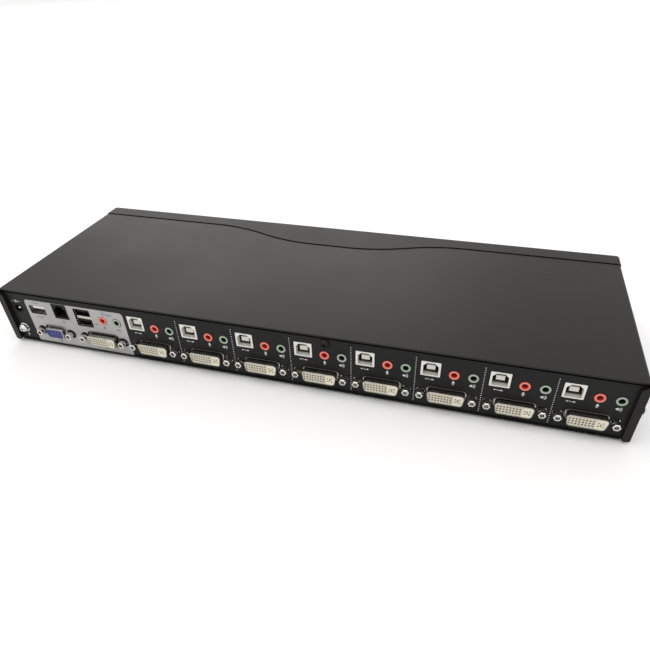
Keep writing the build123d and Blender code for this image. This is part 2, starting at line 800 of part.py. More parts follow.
with BuildPart() as usb_b_insulator:
    with BuildSketch(upright(usb_b_reach - usb_b_sheet)):
        Rectangle(usb_b_width - 2 * usb_b_sheet - gap, usb_b_height - 2 * usb_b_sheet - gap)
    extrude(amount=usb_b_reach - usb_b_sheet - usb_b_back)
    with BuildSketch(upright(usb_b_reach - usb_b_sheet)):
        add(usb_b_mouth)
    extrude(amount=usb_b_mouth_depth, mode=Mode.SUBTRACT)
    with BuildSketch(upright(usb_b_block_face)):
        Rectangle(*usb_b_block)
    extrude(amount=usb_b_mouth_depth)
with BuildPart() as usb_b_shells:
    with Locations(*panel_places(usb_b_centres, usb_b_row)):
        add(usb_b_shell.part)
usb_b_shells.part.label = "usb_b_shells"
export_step(usb_b_shells.part, "parts/usb_b_shells.step")
with BuildPart() as usb_b_insulators:
    with Locations(*panel_places(usb_b_centres, usb_b_row)):
        add(usb_b_insulator.part)
usb_b_insulators.part.label = "usb_b_insulators"
export_step(usb_b_insulators.part, "parts/usb_b_insulators.step")

# USB-A sockets: one alone and two in a stack
usb_a_reach = -0.9
usb_a_back = -13.5
usb_a_sheet = 0.35
usb_a_can_corner = 0.6
usb_a_foot = (11.0, 14.0)       # depths of the single socket's feet
mouth_width = usb_a_width - 2 * usb_a_sheet
mouth_height = usb_a_height - 2 * usb_a_sheet
tongue_size = (11.1, 1.9)
tongue_rise = 1.0
tongue_recess = 0.9
tongue_block = 3.0
stack_mouth_rise = (stack_height - 2 * usb_a_sheet - mouth_height) / 2


def usb_a_shell_shape(height, mouth_rises):
    """Steel can with one or two mouths."""
    with BuildPart() as shell:
        with BuildSketch(upright(usb_a_reach)):
            RectangleRounded(usb_a_width, height, usb_a_can_corner)
            with Locations(*[(0, rise) for rise in mouth_rises]):
                Rectangle(mouth_width, mouth_height, mode=Mode.SUBTRACT)
        extrude(amount=usb_a_reach - usb_a_back)
        # Back wall
        with BuildSketch(upright(usb_a_back + usb_a_sheet)):
            Rectangle(usb_a_width - 2 * gap, height - 2 * gap)
        extrude(amount=usb_a_sheet)
    return shell.part


def usb_a_tongue_shape(mouth_rises):
    """Tongue in the upper part of each mouth, on a block at its back."""
    with BuildPart() as tongue:
        with BuildSketch(upright(usb_a_reach - tongue_recess)):
            with Locations(*[(0, rise + tongue_rise) for rise in mouth_rises]):
                Rectangle(*tongue_size)
        extrude(amount=usb_a_reach - tongue_recess - usb_a_back - usb_a_sheet)
        with BuildSketch(upright(usb_a_back + tongue_block)):
            with Locations(*[(0, rise) for rise in mouth_rises]):
                Rectangle(mouth_width - gap, mouth_height - gap)
        extrude(amount=tongue_block - usb_a_sheet)
    return tongue.part


stack_rises = [-stack_mouth_rise, stack_mouth_rise]
with BuildPart() as usb_a_shell:
    with Locations(*panel_places([usb_a_centre], usb_a_row)):
        add(usb_a_shell_shape(usb_a_height, [0]))
    for side in (-1, 1):
        foot_x = across(usb_a_centre) + side * (usb_a_width / 2 - usb_a_sheet)
        foot_top = usb_a_row - usb_a_height / 2 + usb_a_corner
        block((foot_x, foot_x + side * usb_a_sheet), usb_a_foot, (io_top, foot_top))
usb_a_shell.part.label = "usb_a_shell"
export_step(usb_a_shell.part, "parts/usb_a_shell.step")
with BuildPart() as usb_a_tongue:
    with Locations(*panel_places([usb_a_centre], usb_a_row)):
        add(usb_a_tongue_shape([0]))
usb_a_tongue.part.label = "usb_a_tongue"
export_step(usb_a_tongue.part, "parts/usb_a_tongue.step")
with BuildPart() as usb_stack_shell:
    with Locations(*panel_places([stack_centre], stack_row)):
        add(usb_a_shell_shape(stack_height, stack_rises))
usb_stack_shell.part.label = "usb_stack_shell"
export_step(usb_stack_shell.part, "parts/usb_stack_shell.step")
with BuildPart() as usb_stack_tongues:
    with Locations(*panel_places([stack_centre], stack_row)):
        add(usb_a_tongue_shape(stack_rises))
usb_stack_tongues.part.label = "usb_stack_tongues"
export_step(usb_stack_tongues.part, "parts/usb_stack_tongues.step")

# Six-way modular jack for upgrades, latch notch up
upgrade_reach = 0.3
upgrade_back = -14.0
upgrade_mouth = 10.5
# Steps of the mouth from the plug's body up to its latch: width, height, middle above the row
upgrade_steps = [(9.8, 6.8, -1.2), (6.3, 2.0, 3.0), (3.3, 1.0, 4.3)]
with BuildPart() as upgrade_jack:
    with BuildSketch(upright(deep(panel_depth) + upgrade_reach)):
        with Locations(*spots([upgrade_centre], upgrade_row)):
            Rectangle(upgrade_width, upgrade_height)
            for width, height, rise in upgrade_steps:
                with Locations((0, rise)):
                    Rectangle(width, height, mode=Mode.SUBTRACT)
    extrude(amount=upgrade_mouth)
    with BuildSketch(upright(deep(panel_depth) + upgrade_reach - upgrade_mouth)):
        with Locations(*spots([upgrade_centre], upgrade_row)):
            Rectangle(upgrade_width, upgrade_height)
    extrude(amount=upgrade_reach - upgrade_back - upgrade_mouth)
upgrade_jack.part.label = "upgrade_jack"
export_step(upgrade_jack.part, "parts/upgrade_jack.step")
wire_count = 6
wire_pitch = 1.15
wire_width = 0.45
wire_length = 8.0
wire_thickness = 0.4
wire_slope = 0.8
wire_floor = upgrade_row - 4.6
wire_y = deep(panel_depth) + upgrade_reach - upgrade_mouth
first_wire_x = across(upgrade_centre) - 3.0
with BuildPart() as upgrade_jack_contacts:
    with BuildSketch(Plane.YZ.offset(first_wire_x)):
        with BuildLine():
            Polyline(
                (wire_y, up(wire_floor)),
                (wire_y + wire_length, up(wire_floor)),
                (wire_y + wire_length, up(wire_floor + wire_thickness)),
                (wire_y, up(wire_floor + wire_thickness + wire_slope)),
                close=True,
            )
        make_face()
    extrude(amount=wire_width)
    wire = upgrade_jack_contacts.part
    with Locations(*[(wire_pitch * step, 0, 0) for step in range(1, wire_count)]):
        add(wire)
upgrade_jack_contacts.part.label = "upgrade_jack_contacts"
export_step(upgrade_jack_contacts.part, "parts/upgrade_jack_contacts.step")

# 3.5 mm sound jacks: a coloured sleeve in a black housing
sleeve_reach = 0.7
sleeve_length = 12.0
sleeve_chamfer = 0.4
mouth_chamfer = 0.5
with BuildPart() as sleeve:
    with BuildSketch(Plane.XY):
        with BuildLine():
            Polyline(
                (plug_radius, sleeve_reach - sleeve_length),
                (jack_radius, sleeve_reach - sleeve_length),
                (jack_radius, sleeve_reach - sleeve_chamfer),
                (jack_radius - sleeve_chamfer, sleeve_reach),
                (plug_radius + mouth_chamfer, sleeve_reach),
                (plug_radius, sleeve_reach - mouth_chamfer),
                close=True,
            )
        make_face()
    revolve(axis=Axis.Y)
with BuildPart() as mic_jack_sleeves:
    with Locations(*panel_places(mic_centres, jack_row)):
        add(sleeve.part)
mic_jack_sleeves.part.label = "mic_jack_sleeves"
export_step(mic_jack_sleeves.part, "parts/mic_jack_sleeves.step")
with BuildPart() as speaker_jack_sleeves:
    with Locations(*panel_places(speaker_centres, jack_row)):
        add(sleeve.part)
speaker_jack_sleeves.part.label = "speaker_jack_sleeves"
export_step(speaker_jack_sleeves.part, "parts/speaker_jack_sleeves.step")
housing_half = 4.5
housing_rise = 3.7
housing_wall = 2.0
fit_play = 0.05
housing_back = panel_depth + sleeve_length - sleeve_reach
with BuildPart() as audio_jack_housings:
    for centre in mic_centres + speaker_centres:
        block(
            (across(centre) - housing_half, across(centre) + housing_half),
            (panel_inside + gap, housing_back + housing_wall),
            (io_top + fit_play, jack_row + housing_rise),
        )
    rods(
        spots(mic_centres + speaker_centres, jack_row),
        jack_radius + fit_play,
        panel_depth,
        housing_back,
        Mode.SUBTRACT,
    )
audio_jack_housings.part.label = "audio_jack_housings"
export_step(audio_jack_housings.part, "parts/audio_jack_housings.step")

# Power jack and its pin
power_bore = 2.9
power_bore_back = panel_depth + 9.0
power_half = 4.7
power_back = panel_depth + 13.5
power_rise = 5.0
power_spot = spots([power_centre], power_row)
with BuildPart() as power_jack:
    rods(power_spot, power_radius, panel_depth - slip, panel_inside + overrun)
    block(
        (across(power_centre) - power_half, across(power_centre) + power_half),
        (panel_inside + gap, power_back),
        (io_top + fit_play, power_row + power_rise),
    )
    rods(power_spot, power_bore, panel_depth - overrun, power_bore_back, Mode.SUBTRACT)
power_jack.part.label = "power_jack"
export_step(power_jack.part, "parts/power_jack.step")
pin_radius = 1.0
pin_front = panel_depth + 0.8
with BuildPart() as power_jack_pin:
    rods(power_spot, pin_radius, pin_front, power_bore_back)
    fillet(power_jack_pin.faces().sort_by(Axis.Y)[-1].edges(), pin_radius / 2)
power_jack_pin.part.label = "power_jack_pin"
export_step(power_jack_pin.part, "parts/power_jack_pin.step")


def pan_screw(head_radius, head_height, shank_radius, shank_length):
    """Cross-head screw whose head stands on the XY plane, shank down."""
    rim_height = 0.4 * head_height
    cross_length = 1.2 * head_radius
    cross_width = 0.26 * head_radius
    with BuildPart() as screw:
        with BuildSketch():
            Circle(head_radius)
        extrude(amount=rim_height)
        with BuildSketch(Plane.XY.offset(rim_height)):
            Circle(head_radius)
        extrude(amount=head_height - rim_height, taper=35)
        with BuildSketch():
            Circle(shank_radius)
        extrude(amount=-shank_length)
        with BuildSketch(Plane.XY.offset(head_height)):
            Rectangle(cross_length, cross_width)
            Rectangle(cross_width, cross_length)
        extrude(amount=-0.55 * head_height, mode=Mode.SUBTRACT)
    return screw.part


def facing(origin, direction):
    """Place of a screw whose head faces a direction."""
    return Location(Plane(origin=origin, z_dir=direction))


cover_screw = pan_screw(cover_head, cover_head_height, m3_shank, cover_screw_length)
rear_screw_place = (across(rear_screw_centre), deep(panel_depth), up(rear_screw_row))
side_places = [
    facing((side * half_width, deep(depth), up(height)), (side, 0, 0))
    for side in (-1, 1)
    for depth, height in side_screw_places
]
with BuildPart() as cover_screws:
    with Locations(*side_places, facing(rear_screw_place, (0, 1, 0))):
        add(cover_screw)
cover_screws.part.label = "cover_screws"
export_step(cover_screws.part, "parts/cover_screws.step")

# Ground screw on a split lock washer and a flat washer
lock_washer_front = panel_depth - washer_thickness - lock_washer_thickness
ground_spot = spots([ground_centre], ground_row)
ground_place = (across(ground_centre), deep(lock_washer_front), up(ground_row))
with BuildPart() as ground_screw:
    with Locations(facing(ground_place, (0, 1, 0))):
        add(pan_screw(ground_head, ground_head_height, ground_shank, ground_screw_length))
ground_screw.part.label = "ground_screw"
export_step(ground_screw.part, "parts/ground_screw.step")
with BuildPart() as ground_washers:
    rods(ground_spot, washer_radius, panel_depth - washer_thickness, panel_depth)
    rods(ground_spot, lock_washer_radius, lock_washer_front, panel_depth - washer_thickness)
    block(
        (across(ground_centre), across(ground_centre) - 2 * lock_washer_radius),
        (lock_washer_front, panel_depth - washer_thickness),
        (ground_row - lock_washer_split / 2, ground_row + lock_washer_split / 2),
        Mode.SUBTRACT,
    )
    washer_bore = (lock_washer_front - overrun, panel_depth + overrun)
    rods(ground_spot, ground_shank + gap, *washer_bore, Mode.SUBTRACT)
ground_washers.part.label = "ground_washers"
export_step(ground_washers.part, "parts/ground_washers.step")

# Threaded nuts pressed into the side walls for rack ears
with BuildPart() as ear_nuts:
    ear_places = [
        (ear_depth + step_y * ear_spacing_y / 2, ear_row + step_z * ear_spacing_z / 2)
        for step_y in (-1, 1)
        for step_z in (-1, 1)
    ]
    for side in (-1, 1):
        wall_inside = side * (half_width - sheet)
        with BuildSketch(Plane.YZ.offset(side * half_width)):
            with Locations(*[(deep(depth), up(height)) for depth, height in ear_places]):
                Circle(nut_shank)
        extrude(amount=-side * sheet)
        with BuildSketch(Plane.YZ.offset(wall_inside)):
            with Locations(*[(deep(depth), up(height)) for depth, height in ear_places]):
                Circle(nut_radius)
        extrude(amount=-side * nut_length)
    with BuildSketch(Plane.YZ.offset(-half_width)):
        with Locations(*[(deep(depth), up(height)) for depth, height in ear_places]):
            Circle(nut_bore)
    extrude(amount=cover_width, mode=Mode.SUBTRACT)
ear_nuts.part.label = "ear_nuts"
export_step(ear_nuts.part, "parts/ear_nuts.step")

# Feet
foot_inset = 20.0
foot_radius = 6.5
foot_depths = (18.0, 118.0)
foot_chamfer = 0.4
foot_places = [(side * (half_width - foot_inset), depth) for side in (-1, 1) for depth in foot_depths]
with BuildPart() as rubber_feet:
    posts(foot_places, foot_radius, -foot_height, 0)
    chamfer(rubber_feet.faces().group_by(Axis.Z)[0].edges(), foot_chamfer)
rubber_feet.part.label = "rubber_feet"
export_step(rubber_feet.part, "parts/rubber_feet.step")

# Circuit boards
pillar_places = [(x, pillar_depth) for x in standoff_xs]
front_standoff_places = [(x, front_standoff_depth) for x in standoff_xs]
with BuildPart() as main_board:
    block((-board_half, board_half), (board_rear, main_front), (main_top - board, main_top))
    posts(pillar_places + front_standoff_places, board_hole, 0, main_top + overrun, Mode.SUBTRACT)
main_board.part.label = "main_board"
export_step(main_board.part, "parts/main_board.step")

with BuildPart() as io_board:
    block((-board_half, board_half), (board_rear, io_front), (io_top - board, io_top))
    # The stacked sockets hang through a notch
    stack_x = across(stack_centre)
    notch = usb_a_width / 2 + slip
    notch_end = panel_depth - usb_a_back + overrun
    through_board = (io_top - board - overrun, io_top + overrun)
    block((stack_x - notch, stack_x + notch), (0, notch_end), through_board, Mode.SUBTRACT)
    posts(pillar_places, board_hole, *through_board, Mode.SUBTRACT)
io_board.part.label = "io_board"
export_step(io_board.part, "parts/io_board.step")

with BuildPart() as tray_standoffs:
    posts(pillar_places + front_standoff_places, standoff_radius, tray_sheet, main_top - board)
    posts(pillar_places + front_standoff_places, m3_tap, tray_sheet, main_top, Mode.SUBTRACT)
tray_standoffs.part.label = "tray_standoffs"
export_step(tray_standoffs.part, "parts/tray_standoffs.step")

with BuildPart() as board_pillars:
    with BuildSketch(Plane.XY.offset(up(main_top))):
        with Locations(*[(x, deep(depth)) for x, depth in pillar_places]):
            RegularPolygon(pillar_radius, 6, major_radius=False)
    extrude(amount=io_top - board - main_top)
    posts(pillar_places, m3_shank, tray_sheet + slip, main_top)
    posts(pillar_places, m3_tap, io_top - board - pillar_bore, io_top, Mode.SUBTRACT)
board_pillars.part.label = "board_pillars"
export_step(board_pillars.part, "parts/board_pillars.step")

with BuildPart() as button_board:
    block(
        (-button_board_half, button_board_half),
        (button_board_front - board, button_board_front),
        (overlay_row - button_board_rise, overlay_row + button_board_rise),
    )
    rods(
        [(x, up(height)) for x, height in button_screw_places],
        board_hole,
        button_board_front - board - overrun,
        button_board_front + overrun,
        Mode.SUBTRACT,
    )
button_board.part.label = "button_board"
export_step(button_board.part, "parts/button_board.step")

# Screws inside the box, all alike: boards, button board and bezel
board_screw = pan_screw(m3_head, m3_head_height, m3_shank, board_screw_length)
board_screw_places = [facing((x, deep(depth), up(io_top)), (0, 0, 1)) for x, depth in pillar_places]
board_screw_places += [facing((x, deep(depth), up(main_top)), (0, 0, 1)) for x, depth in front_standoff_places]
button_board_rear = deep(button_board_front - board)
board_screw_places += [facing((x, button_board_rear, up(z)), (0, 1, 0)) for x, z in button_screw_places]
board_screw_places += [facing((x, deep(front_wall_depth), up(z)), (0, 1, 0)) for x, z in bezel_screw_places]
with BuildPart() as internal_screws:
    with Locations(*board_screw_places):
        add(board_screw)
internal_screws.part.label = "internal_screws"
export_step(internal_screws.part, "parts/internal_screws.step")

# Chips and other parts on the boards
port_chip_half = 7.0
port_chip_depths = (70.0, 84.0)
hub_chip_half = 5.0
hub_chip_depths = (24.0, 34.0)
chip_height = 1.4
main_chip_half = 12.0
main_chip_depths = (92.0, 116.0)
main_chip_height = 2.0
with BuildPart() as logic_chips:
    for x in [across(centre) for centre in port_centres]:
        block((x - port_chip_half, x + port_chip_half), port_chip_depths, (main_top, main_top + chip_height))
        block((x - hub_chip_half, x + hub_chip_half), hub_chip_depths, (io_top, io_top + chip_height))
    block((-main_chip_half, main_chip_half), main_chip_depths, (main_top, main_top + main_chip_height))
logic_chips.part.label = "logic_chips"
export_step(logic_chips.part, "parts/logic_chips.step")

small_can_places = [(x, 24.0) for x in (150.0, 162.0, 174.0)]
large_can_places = [(x, 100.0) for x in (150.0, 165.0, 180.0, -165.0, -180.0)]
can_chamfer = 0.5
with BuildPart() as capacitors:
    posts(small_can_places, 4.0, io_top, io_top + 10.0)
    posts(large_can_places, 5.0, main_top, main_top + 12.0)
    chamfer(capacitors.faces().group_by(Axis.Z)[-1].edges(), can_chamfer)
capacitors.part.label = "capacitors"
export_step(capacitors.part, "parts/capacitors.step")

crystal_places = [(x, deep(104.0)) for x in (-40.0, 30.0, 95.0)]
crystal_length = 11.0
crystal_width = 4.6
crystal_height = 3.5
with BuildPart() as crystals:
    with BuildSketch(Plane.XY.offset(up(main_top))):
        with Locations(*crystal_places):
            SlotOverall(crystal_length, crystal_width)
    extrude(amount=crystal_height)
crystals.part.label = "crystals"
export_step(crystals.part, "parts/crystals.step")

regulator_half = 5.0
regulator_depths = (78.0, 87.0)
regulator_height = 2.4
heat_tab_half = 4.5
heat_tab_depths = (74.0, 78.0)
heat_tab_height = 0.8
with BuildPart() as voltage_regulators:
    for x in (125.0, 195.0):
        block((x - regulator_half, x + regulator_half), regulator_depths, (main_top, main_top + regulator_height))
        block((x - heat_tab_half, x + heat_tab_half), heat_tab_depths, (main_top, main_top + heat_tab_height))
voltage_regulators.part.label = "voltage_regulators"
export_step(voltage_regulators.part, "parts/voltage_regulators.step")

buzzer_place = [(-197.0, 94.0)]
buzzer_radius = 6.0
buzzer_height = 7.5
buzzer_hole = 1.0
with BuildPart() as buzzer:
    posts(buzzer_place, buzzer_radius, main_top, main_top + buzzer_height)
    posts(buzzer_place, buzzer_hole, main_top + 3, main_top + buzzer_height + overrun, Mode.SUBTRACT)
buzzer.part.label = "buzzer"
export_step(buzzer.part, "parts/buzzer.step")

# Headers between the two large boards, and ribbon cable from the main board to the button board
link_header_half = 25.0
link_header_depths = (52.0, 57.0)
ribbon_bend = 5.0
ribbon_header_half = ribbon_width / 2 + 2
main_header_depth = 107.0
main_header_half = 3.0
main_header_top = main_top + 9.0
button_header_rear = 138.4
button_header_half = 2.6
with BuildPart() as board_headers:
    for x in (-130.0, 0.0, 130.0):
        block((x - link_header_half, x + link_header_half), link_header_depths, (main_top, io_top - board))
    header_x = (ribbon_x - ribbon_header_half, ribbon_x + ribbon_header_half)
    main_header_depths = (main_header_depth - main_header_half, main_header_depth + main_header_half)
    button_header_heights = (ribbon_row - button_header_half, ribbon_row + button_header_half)
    block(header_x, main_header_depths, (main_top, main_header_top))
    block(header_x, (button_header_rear, button_board_front - board), button_header_heights)
board_headers.part.label = "board_headers"
export_step(board_headers.part, "parts/board_headers.step")
with BuildPart() as ribbon_cable:
    with BuildSketch(Plane.YZ.offset(ribbon_x - ribbon_width / 2)):
        with BuildLine() as route:
            FilletPolyline(
                (deep(main_header_depth), up(main_header_top)),
                (deep(main_header_depth), up(ribbon_row)),
                (deep(button_header_rear), up(ribbon_row)),
                radius=ribbon_bend,
            )
        trace(route.line, line_width=ribbon_thickness)
    extrude(amount=ribbon_width)
ribbon_cable.part.label = "ribbon_cable"
export_step(ribbon_cable.part, "parts/ribbon_cable.step")
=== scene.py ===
"""Looks of an eight-port keyboard, screen and sound switch, seen from behind and above."""

import math

import bmesh
import bpy
from mathutils import Matrix, Vector


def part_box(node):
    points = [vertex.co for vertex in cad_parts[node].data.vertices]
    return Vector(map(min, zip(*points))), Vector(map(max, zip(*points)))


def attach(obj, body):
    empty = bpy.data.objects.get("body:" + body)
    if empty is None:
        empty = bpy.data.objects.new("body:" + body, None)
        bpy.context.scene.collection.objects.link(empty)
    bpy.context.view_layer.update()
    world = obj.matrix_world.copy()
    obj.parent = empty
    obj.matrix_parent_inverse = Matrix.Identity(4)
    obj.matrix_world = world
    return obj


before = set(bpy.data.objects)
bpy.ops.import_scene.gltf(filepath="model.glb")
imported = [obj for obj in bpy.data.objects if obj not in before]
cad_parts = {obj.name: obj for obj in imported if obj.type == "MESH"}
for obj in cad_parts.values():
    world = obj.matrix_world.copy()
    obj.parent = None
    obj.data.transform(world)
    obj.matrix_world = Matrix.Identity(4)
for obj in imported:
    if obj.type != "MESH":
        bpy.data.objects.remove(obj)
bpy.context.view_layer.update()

MM = 0.001

# Places that repeat the CAD part's driving dimensions, in millimetres. Distances run
# from the box's +X side, depths run forwards from its rear rim, heights run up from the
# tray's underside.
cover_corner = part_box("top_cover")[1] / MM
half_width = cover_corner.x
rear_y = cover_corner.y
overlay_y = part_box("front_overlay")[0].y / MM
foot_height = 2.0
panel_depth = 2.6
label_thickness = 0.15
port_count = 8
first_port = 122.65
port_pitch = 41.0
console_dvi = 80.7
low_row = 11.7
usb_b_shift = -10.9
mic_shift = 3.4
speaker_shift = 14.9
port_centres = [first_port + port_pitch * number for number in range(port_count)]
dvi_face = 4.4                  # how far the DVI insulators' faces stand out of the panel
shell_ends = (11.2, 12.2)       # where a DVI shell's two ends begin, from its middle
contact_pitch = 1.88
column_middle = 3.1             # the eight columns' middle, from the socket's
wide_contact = (4.6, 5.4)       # where the part of the face with the wide contact begins
led_row = 30.5

panel_y = rear_y - panel_depth
label_y = panel_y + label_thickness


def across(distance):
    """X of a point this far from the box's +X side."""
    return half_width - distance


# ---------------------------------------------------------------- materials


def add_node(tree, kind, settings=None, **sockets):
    """Adds a shader node. Each socket takes a value or another node's output."""
    made = tree.nodes.new(kind)
    for key, value in (settings or {}).items():
        setattr(made, key, value)
    for key, value in sockets.items():
        socket = made.inputs[key.replace("_", " ")]
        if isinstance(value, bpy.types.NodeSocket):
            tree.links.new(value, socket)
        else:
            socket.default_value = value
    return made


def noise(tree, place, size, detail=2.0, roughness=0.5):
    """Noise whose blotches are about size millimetres across."""
    made = add_node(
        tree, "ShaderNodeTexNoise", Vector=place, Scale=1.0 / (size * MM), Detail=detail, Roughness=roughness
    )
    return made.outputs["Fac"]


def spread(tree, value, low, high, start=0.3, end=0.7):
    """Maps a noise's middle range to low..high."""
    made = add_node(
        tree, "ShaderNodeMapRange", Value=value, From_Min=start, From_Max=end, To_Min=low, To_Max=high
    )
    return made.outputs["Result"]


def mix_colours(tree, factor, first, second):
    """Blend of two colours or colour outputs."""
    made = tree.nodes.new("ShaderNodeMix")
    made.data_type = "RGBA"
    tree.links.new(factor, made.inputs["Factor"])
    for socket, colour in ((made.inputs[6], first), (made.inputs[7], second)):
        if isinstance(colour, bpy.types.NodeSocket):
            tree.links.new(colour, socket)
        else:
            socket.default_value = (*colour, 1.0)
    return made.outputs[2]


def new_material(name):
    """(material, its node tree, its shader, object coordinates)."""
    material = bpy.data.materials.new(name)
    material.use_nodes = True
    tree = material.node_tree
    shader = tree.nodes["Principled BSDF"]
    place = add_node(tree, "ShaderNodeTexCoord").outputs["Object"]
    return material, tree, shader, place


def finish(
    name,
    dark,
    light,
    rough,
    metallic=0.0,
    specular=0.5,
    grain=0.5,
    depth=0.02,
    clouds=25.0,
    stretch=(1, 1, 1),
    edge=0.0,
    settings=None,
):
    """A surface with two tones in soft clouds, a fine grain in relief and uneven gloss.

    rough is (smoothest, roughest). grain and clouds are sizes and depth a relief, all in
    millimetres. stretch draws the grain out for brushed metal. edge rounds sharp edges.
    """
    material, tree, shader, place = new_material(name)
    drawn = add_node(tree, "ShaderNodeMapping", Vector=place, Scale=stretch).outputs["Vector"]
    fine = noise(tree, drawn, grain, 3.0, 0.6)
    broad = noise(tree, place, clouds, 3.0)
    tone = add_node(tree, "ShaderNodeMath", {"operation": "MULTIPLY"})
    tree.links.new(spread(tree, fine, 0.5, 1.0), tone.inputs[0])
    tree.links.new(spread(tree, broad, 0.1, 1.0), tone.inputs[1])
    tree.links.new(mix_colours(tree, tone.outputs["Value"], dark, light), shader.inputs["Base Color"])
    tree.links.new(spread(tree, broad, rough[0], rough[1]), shader.inputs["Roughness"])
    shader.inputs["Metallic"].default_value = metallic
    shader.inputs["Specular IOR Level"].default_value = specular
    bump = add_node(tree, "ShaderNodeBump", Strength=1.0, Distance=depth * MM, Height=fine)
    if edge:
        rounded = add_node(tree, "ShaderNodeBevel", {"samples": 4}, Radius=edge * MM)
        tree.links.new(rounded.outputs["Normal"], bump.inputs["Normal"])
    tree.links.new(bump.outputs["Normal"], shader.inputs["Normal"])
    for key, value in (settings or {}).items():
        shader.inputs[key].default_value = value
    return material


def bored(name, face, shaded_bore, rough, near=0.66, far=0.0, metallic=0.0):
    """Painted shade: a socket's colour darkens inwards to the bore's shaded colour, from near to far in
    millimetres out of the panel.
    """
    material, tree, shader, place = new_material(name)
    axes = add_node(tree, "ShaderNodeSeparateXYZ", Vector=place)
    # Painted shade: the bore colour takes over from near to far inside the socket.
    depth = add_node(
        tree,
        "ShaderNodeMapRange",
        Value=axes.outputs["Y"],
        From_Min=(panel_y + far) * MM,
        From_Max=(panel_y + near) * MM,
        To_Min=1.0,
        To_Max=0.0,
    )
    fine = noise(tree, place, 0.3, 3.0)
    shade = mix_colours(tree, spread(tree, fine, 0.0, 1.0), face, [0.86 * part for part in face])
    tree.links.new(mix_colours(tree, depth.outputs["Result"], shade, shaded_bore), shader.inputs["Base Color"])
    tree.links.new(spread(tree, fine, rough[0], rough[1]), shader.inputs["Roughness"])
    shader.inputs["Metallic"].default_value = metallic
    bump = add_node(tree, "ShaderNodeBump", Strength=1.0, Distance=0.01 * MM, Height=fine)
    tree.links.new(bump.outputs["Normal"], shader.inputs["Normal"])
    return material


def beyond(tree, place, start, end, low, high):
    """low up to start and high from end, in millimetres along Y."""
    axes = add_node(tree, "ShaderNodeSeparateXYZ", Vector=place)
    return spread(tree, axes.outputs["Y"], low, high, start * MM, end * MM)


def from_port(tree, place):
    """Metres from the middle of the nearest port's DVI socket, greater to the right seen from behind."""
    axes = add_node(tree, "ShaderNodeSeparateXYZ", Vector=place)
    gap = add_node(tree, "ShaderNodeMath", {"operation": "SUBTRACT"})
    gap.inputs[0].default_value = across(first_port) * MM
    tree.links.new(axes.outputs["X"], gap.inputs[1])
    wrapped = add_node(tree, "ShaderNodeMath", {"operation": "WRAP"})
    tree.links.new(gap.outputs["Value"], wrapped.inputs[0])
    wrapped.inputs[1].default_value = port_pitch / 2 * MM
    wrapped.inputs[2].default_value = -port_pitch / 2 * MM
    return wrapped.outputs["Value"]


def dimmed(material, amount_of):
    """Scales a material's colour by amount_of(tree, place), a shader value."""
    tree = material.node_tree
    colour = tree.nodes["Principled BSDF"].inputs["Base Color"]
    place = add_node(tree, "ShaderNodeTexCoord").outputs["Object"]
    scaled = add_node(
        tree,
        "ShaderNodeVectorMath",
        {"operation": "SCALE"},
        Vector=colour.links[0].from_socket,
        Scale=amount_of(tree, place),
    )
    tree.links.new(scaled.outputs["Vector"], colour)
    return material


def rear_edge_shade(tree, place):
    """Painted shade: the coat is darkened on the cover's rear edge."""
    edge_start, edge_end = rear_y - 1.6, rear_y - 0.4
    return beyond(tree, place, edge_start, edge_end, 1.0, 0.45)


def root_shade(tree, place):
    """Painted shade on a D shell towards the panel, and painted highlights at its two ends."""
    offset = add_node(tree, "ShaderNodeMath", {"operation": "ABSOLUTE"})
    tree.links.new(from_port(tree, place), offset.inputs[0])
    inner, outer = (distance * MM for distance in shell_ends)
    # Painted highlights at the shell's two ends, up to half as bright again.
    end_highlights = spread(tree, offset.outputs["Value"], 0.0, 1.5, inner, outer)
    # Painted shade towards the panel.
    root_end, bright_start = panel_y + 0.8, panel_y + 2.6
    shade_towards_panel = beyond(tree, place, root_end, bright_start, 0.28, 0.8)
    lighter = add_node(tree, "ShaderNodeMath", {"operation": "MAXIMUM"})
    tree.links.new(end_highlights, lighter.inputs[0])
    tree.links.new(shade_towards_panel, lighter.inputs[1])
    return lighter.outputs["Value"]


def face_tone(tree, place):
    """Painted shade: a DVI face is darkened among the close rows of contact holes and lightened at the wide
    contact.
    """
    shade_end, lighter_start = (distance * MM for distance in wide_contact)
    return spread(tree, from_port(tree, place), 0.80, 1.06, shade_end, lighter_start)


def circuit_board(name):
    """Green solder mask with lighter tracks and small pads."""
    material, tree, shader, place = new_material(name)
    tracks = add_node(
        tree,
        "ShaderNodeTexBrick",
        Vector=place,
        Color1=(0.010, 0.090, 0.035, 1),
        Color2=(0.014, 0.115, 0.045, 1),
        Mortar=(0.030, 0.190, 0.080, 1),
        Scale=1.0 / (6 * MM),
        Mortar_Size=0.03,
    )
    pads = add_node(tree, "ShaderNodeTexVoronoi", Vector=place, Scale=1.0 / (3 * MM))
    spots = spread(tree, pads.outputs["Distance"], 1.0, 0.0, 0.10, 0.14)
    colour = mix_colours(tree, spots, tracks.outputs["Color"], (0.45, 0.42, 0.35))
    tree.links.new(colour, shader.inputs["Base Color"])
    tree.links.new(spread(tree, noise(tree, place, 10.0), 0.25, 0.40), shader.inputs["Roughness"])
    bump = add_node(
        tree, "ShaderNodeBump", Strength=1.0, Distance=0.03 * MM, Height=tracks.outputs["Fac"]
    )
    tree.links.new(bump.outputs["Normal"], shader.inputs["Normal"])
    return material


